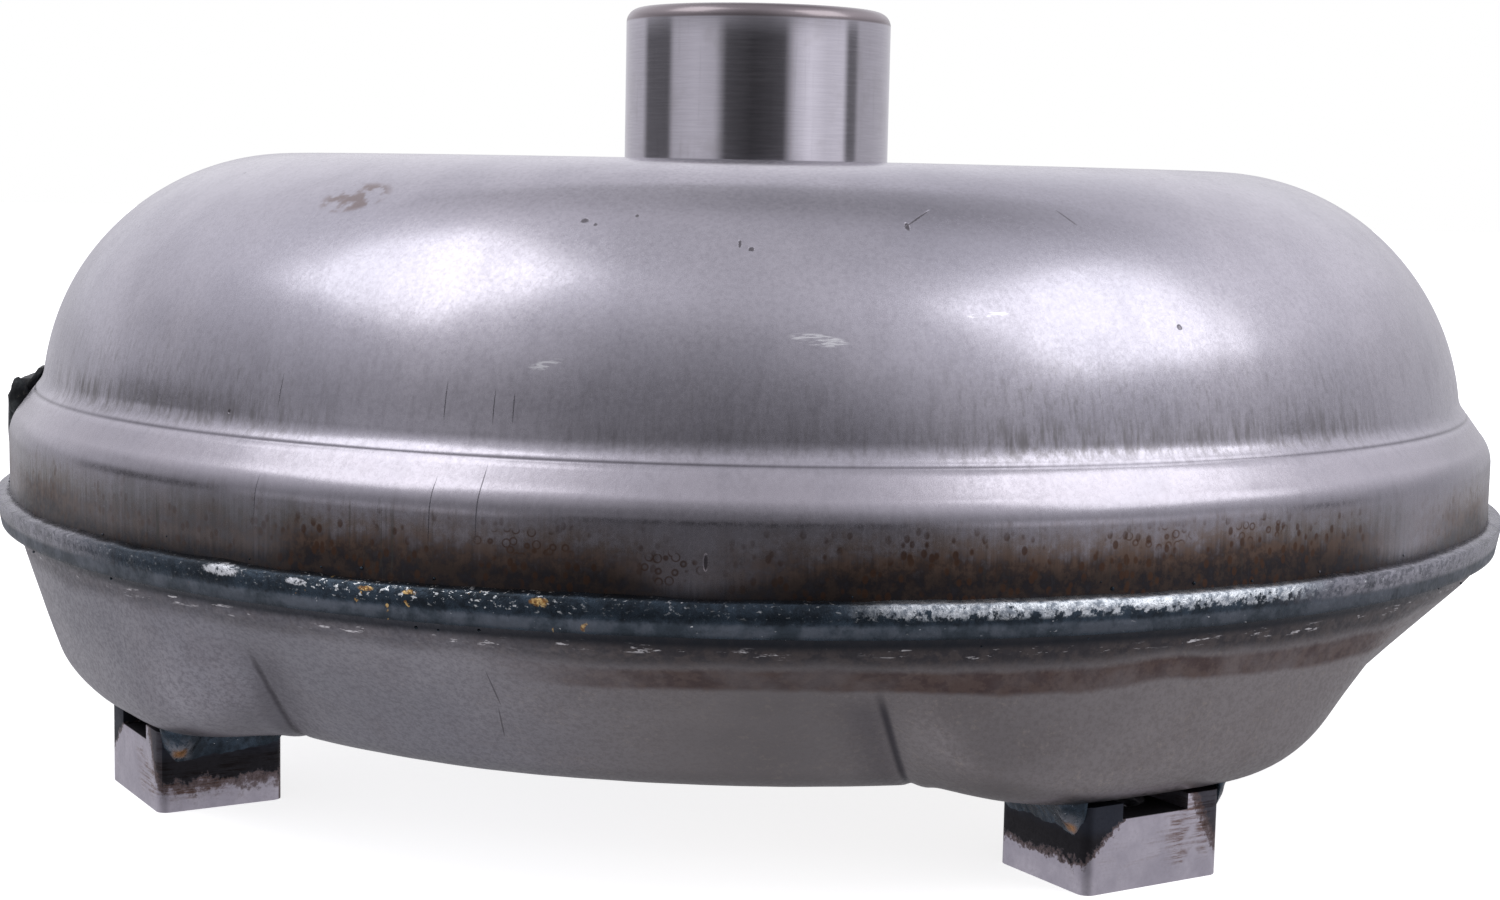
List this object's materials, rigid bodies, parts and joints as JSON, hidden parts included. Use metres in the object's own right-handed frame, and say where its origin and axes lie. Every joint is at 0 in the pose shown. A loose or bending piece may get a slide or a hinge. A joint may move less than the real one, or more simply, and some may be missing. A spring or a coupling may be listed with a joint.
{
  "type": "torque converter",
  "caption": "Lock-up torque converter: welded shell with pump hub and crankshaft pilot, holding an impeller, turbine, stator with one-way clutch, damper and lock-up piston.",
  "frame": {"origin": "on the axis of rotation, in the plane of the four mounting lugs' threaded faces", "axes": "+Z along the axis of rotation from the engine side to the gearbox side; the four lugs stand on the X and Y axes"},
  "size_m": [0.263, 0.263, 0.131],
  "materials": {
    "pressed_steel": "satin bare pressed steel, scuffed and heat tinted near the welds",
    "weld_metal": "dark blue-black rippled weld",
    "ground_steel": "fine ground",
    "lug_steel": "bare steel, sooted next to the welds",
    "bearing_steel": "ground and polished",
    "cage_steel": "dull pressed strip",
    "machined_steel": "turned",
    "sheet_steel": "rolled sheet",
    "spring_steel": "oiled spring wire",
    "cast_aluminium": "as cast",
    "seal_plastic": "moulded",
    "friction_paper": "bonded paper friction lining",
    "blackened_steel": "blackened by heat"
  },
  "bodies": {
    "housing": {"rear_shell": "pressed_steel", "pump_hub": "ground_steel", "hub_weld": "weld_metal", "front_cover": "pressed_steel", "closure_weld": "weld_metal", "crank_pilot": "ground_steel", "pilot_weld": "weld_metal", "mounting_lug_1": "lug_steel", "mounting_lug_2": "lug_steel", "mounting_lug_3": "lug_steel", "mounting_lug_4": "lug_steel", "lug_welds_1": "weld_metal", "lug_welds_2": "weld_metal", "lug_welds_3": "weld_metal", "lug_welds_4": "weld_metal", "balance_weight": "blackened_steel", "balance_weight_welds": "weld_metal", "impeller_blades": "sheet_steel", "impeller_core_ring": "sheet_steel", "rear_bearing_hub_race": "bearing_steel", "front_bearing_cover_race": "bearing_steel"},
    "turbine": {"turbine_shell": "sheet_steel", "turbine_blades": "sheet_steel", "turbine_core_ring": "sheet_steel", "turbine_hub": "machined_steel", "turbine_rivets": "machined_steel", "piston_seal_ring": "seal_plastic", "damper_driven_plate": "sheet_steel", "mid_bearing_turbine_race": "bearing_steel", "front_bearing_turbine_race": "bearing_steel"},
    "damper": {"damper_front_plate": "sheet_steel", "damper_rear_plate": "sheet_steel", "damper_stop_pins": "machined_steel", "damper_springs": "spring_steel"},
    "piston": {"lockup_piston": "sheet_steel", "friction_lining": "friction_paper"},
    "stator": {"stator_wheel": "cast_aluminium", "stator_front_cap": "cast_aluminium", "stator_rear_cap": "cast_aluminium", "clutch_outer_race": "bearing_steel", "clutch_rollers": "bearing_steel", "clutch_springs": "spring_steel", "rear_bearing_stator_race": "bearing_steel", "mid_bearing_stator_race": "bearing_steel"},
    "inner_race": {"clutch_inner_race": "bearing_steel"},
    "front_cage": {"front_bearing_cage": "cage_steel", "front_bearing_rollers": "bearing_steel"},
    "mid_cage": {"mid_bearing_cage": "cage_steel", "mid_bearing_rollers": "bearing_steel"},
    "rear_cage": {"rear_bearing_cage": "cage_steel", "rear_bearing_rollers": "bearing_steel"}
  },
  "joints": [
    {"name": "turbine_spin", "type": "hinge", "parent": "housing", "child": "turbine", "pos_m": [0, 0, 0.036], "axis": [0, 0, 1], "continuous": true},
    {"name": "damper_twist", "type": "hinge", "parent": "turbine", "child": "damper", "pos_m": [0, 0, 0.036], "axis": [0, 0, 1], "range_deg": [-8, 8], "stiffness_Nm_per_rad": 600, "deforming": ["damper_springs"]},
    {"name": "piston_slide", "type": "slide", "parent": "damper", "child": "piston", "axis": [0, 0, -1], "range_m": [0, 0.0012]},
    {"name": "stator_spin", "type": "hinge", "parent": "housing", "child": "stator", "pos_m": [0, 0, 0.065], "axis": [0, 0, 1], "continuous": true},
    {"name": "one_way_clutch", "type": "hinge", "parent": "stator", "child": "inner_race", "pos_m": [0, 0, 0.065], "axis": [0, 0, 1], "range_deg": [0, 360]},
    {"name": "front_cage_spin", "type": "hinge", "parent": "housing", "child": "front_cage", "pos_m": [0, 0, 0.0235], "axis": [0, 0, 1], "continuous": true},
    {"name": "mid_cage_spin", "type": "hinge", "parent": "housing", "child": "mid_cage", "pos_m": [0, 0, 0.049], "axis": [0, 0, 1], "continuous": true},
    {"name": "rear_cage_spin", "type": "hinge", "parent": "housing", "child": "rear_cage", "pos_m": [0, 0, 0.081], "axis": [0, 0, 1], "continuous": true}
  ],
  "couplings": [
    {"joint": "front_cage_spin", "follows": "turbine_spin", "ratio": 0.5},
    {"joint": "rear_cage_spin", "follows": "stator_spin", "ratio": 0.5}
  ]
}
